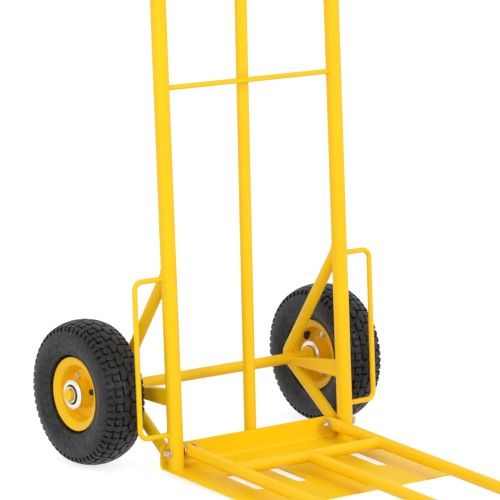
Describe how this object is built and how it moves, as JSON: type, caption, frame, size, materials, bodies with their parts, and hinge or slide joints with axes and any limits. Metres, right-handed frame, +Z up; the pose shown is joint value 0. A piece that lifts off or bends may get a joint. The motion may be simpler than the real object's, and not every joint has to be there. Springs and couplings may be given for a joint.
{
  "type": "hand truck",
  "caption": "Tubular hand truck with a slotted toe plate, pneumatic wheels on a through axle, wheel guards and a fold-up load extension.",
  "frame": {"origin": "on the floor, midway between the uprights, where their leaning axes meet the floor", "axes": "+Z up; +X along the axle, to the right as seen from in front; +Y back towards the wheels and the person who pushes; the toe plate and the extension reach towards -Y"},
  "size_m": [0.627, 0.9973, 1.194],
  "materials": {
    "frame_paint": "gloss",
    "rim_paint": "gloss",
    "zinc": "satin",
    "steel": "satin",
    "tyre": "matte",
    "tube_rubber": "satin",
    "grip_rubber": "matte",
    "black_plastic": "satin"
  },
  "bodies": {
    "frame": {"axle": "frame_paint", "centre_pad": "frame_paint", "centre_tube": "frame_paint", "cross_rod": "frame_paint", "hinge_bolts": "zinc", "hinge_nuts": "zinc", "hinge_spacers": "zinc", "hinge_washers": "zinc", "left_axle_cap": "frame_paint", "left_axle_collar": "frame_paint", "left_axle_washer": "zinc", "left_grip": "grip_rubber", "left_guard": "frame_paint", "left_split_pin": "zinc", "left_stay": "frame_paint", "left_strut": "frame_paint", "left_upright": "frame_paint", "right_axle_cap": "frame_paint", "right_axle_collar": "frame_paint", "right_axle_washer": "zinc", "right_grip": "grip_rubber", "right_guard": "frame_paint", "right_split_pin": "zinc", "right_stay": "frame_paint", "right_strut": "frame_paint", "right_upright": "frame_paint", "toe_plate": "frame_paint", "top_bar": "frame_paint"},
    "left_wheel": {"left_bearing_cup_inner": "zinc", "left_bearing_cup_outer": "zinc", "left_bearing_inner": "steel", "left_bearing_outer": "steel", "left_hub": "rim_paint", "left_inner_tube": "tube_rubber", "left_rim_bolts": "zinc", "left_rim_inner": "rim_paint", "left_rim_nuts": "zinc", "left_rim_outer": "rim_paint", "left_tyre": "tyre", "left_valve": "tube_rubber", "left_valve_cap": "black_plastic"},
    "right_wheel": {"right_bearing_cup_inner": "zinc", "right_bearing_cup_outer": "zinc", "right_bearing_inner": "steel", "right_bearing_outer": "steel", "right_hub": "rim_paint", "right_inner_tube": "tube_rubber", "right_rim_bolts": "zinc", "right_rim_inner": "rim_paint", "right_rim_nuts": "zinc", "right_rim_outer": "rim_paint", "right_tyre": "tyre", "right_valve": "tube_rubber", "right_valve_cap": "black_plastic"},
    "extension": {"extension_centre_tube": "frame_paint", "extension_cross_tube": "frame_paint", "extension_loop": "frame_paint", "extension_plugs": "black_plastic"}
  },
  "joints": [
    {"name": "left_wheel_spin", "type": "hinge", "parent": "frame", "child": "left_wheel", "pos_m": [-0.268, 0.16, 0.13], "axis": [1, 0, 0], "continuous": true},
    {"name": "right_wheel_spin", "type": "hinge", "parent": "frame", "child": "right_wheel", "pos_m": [0.268, 0.16, 0.13], "axis": [1, 0, 0], "continuous": true},
    {"name": "extension_fold", "type": "hinge", "parent": "frame", "child": "extension", "pos_m": [0, 0.00308, 0.041], "axis": [-1, 0, 0], "range_deg": [0, 95.2]}
  ]
}
